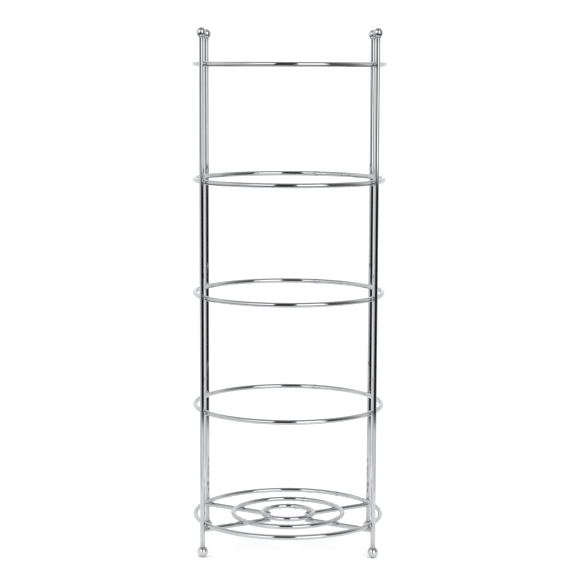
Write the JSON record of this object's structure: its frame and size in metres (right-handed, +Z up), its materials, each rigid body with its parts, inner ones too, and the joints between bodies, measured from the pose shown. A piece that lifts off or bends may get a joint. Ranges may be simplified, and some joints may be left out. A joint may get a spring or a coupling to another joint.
{
  "type": "spare toilet roll stand",
  "caption": "Free-standing welded wire column for spare toilet rolls: round hoops inside ball-ended uprights, on a spoked round base grid.",
  "frame": {"origin": "on the floor, under the centre of the column, level with the undersides of the four ball feet", "axes": "+Z up, -Y towards the front, +X to the right seen from the front; the uprights stand 31 degrees either side of the X axis"},
  "size_m": [0.16, 0.16, 0.4315],
  "materials": {
    "wire_chrome": "bright chrome plate on drawn steel wire",
    "ball_chrome": "bright chrome plate on polished steel balls",
    "weld_chrome": "chrome plate over slightly uneven weld metal"
  },
  "bodies": {
    "root": {"upright_front_left": "wire_chrome", "upright_front_right": "wire_chrome", "upright_rear_left": "wire_chrome", "upright_rear_right": "wire_chrome", "finial_front_left": "ball_chrome", "finial_front_right": "ball_chrome", "finial_rear_left": "ball_chrome", "finial_rear_right": "ball_chrome", "foot_front_left": "ball_chrome", "foot_front_right": "ball_chrome", "foot_rear_left": "ball_chrome", "foot_rear_right": "ball_chrome", "hoop_lower": "wire_chrome", "hoop_middle": "wire_chrome", "hoop_upper": "wire_chrome", "hoop_top": "wire_chrome", "base_rim": "wire_chrome", "base_middle_ring": "wire_chrome", "base_inner_ring": "wire_chrome", "spoke_front_left": "wire_chrome", "spoke_front_right": "wire_chrome", "spoke_rear_left": "wire_chrome", "spoke_rear_right": "wire_chrome", "hoop_weld_beads": "weld_chrome", "rim_weld_beads": "weld_chrome", "grid_weld_beads": "weld_chrome", "ball_neck_welds": "weld_chrome"}
  },
  "joints": []
}
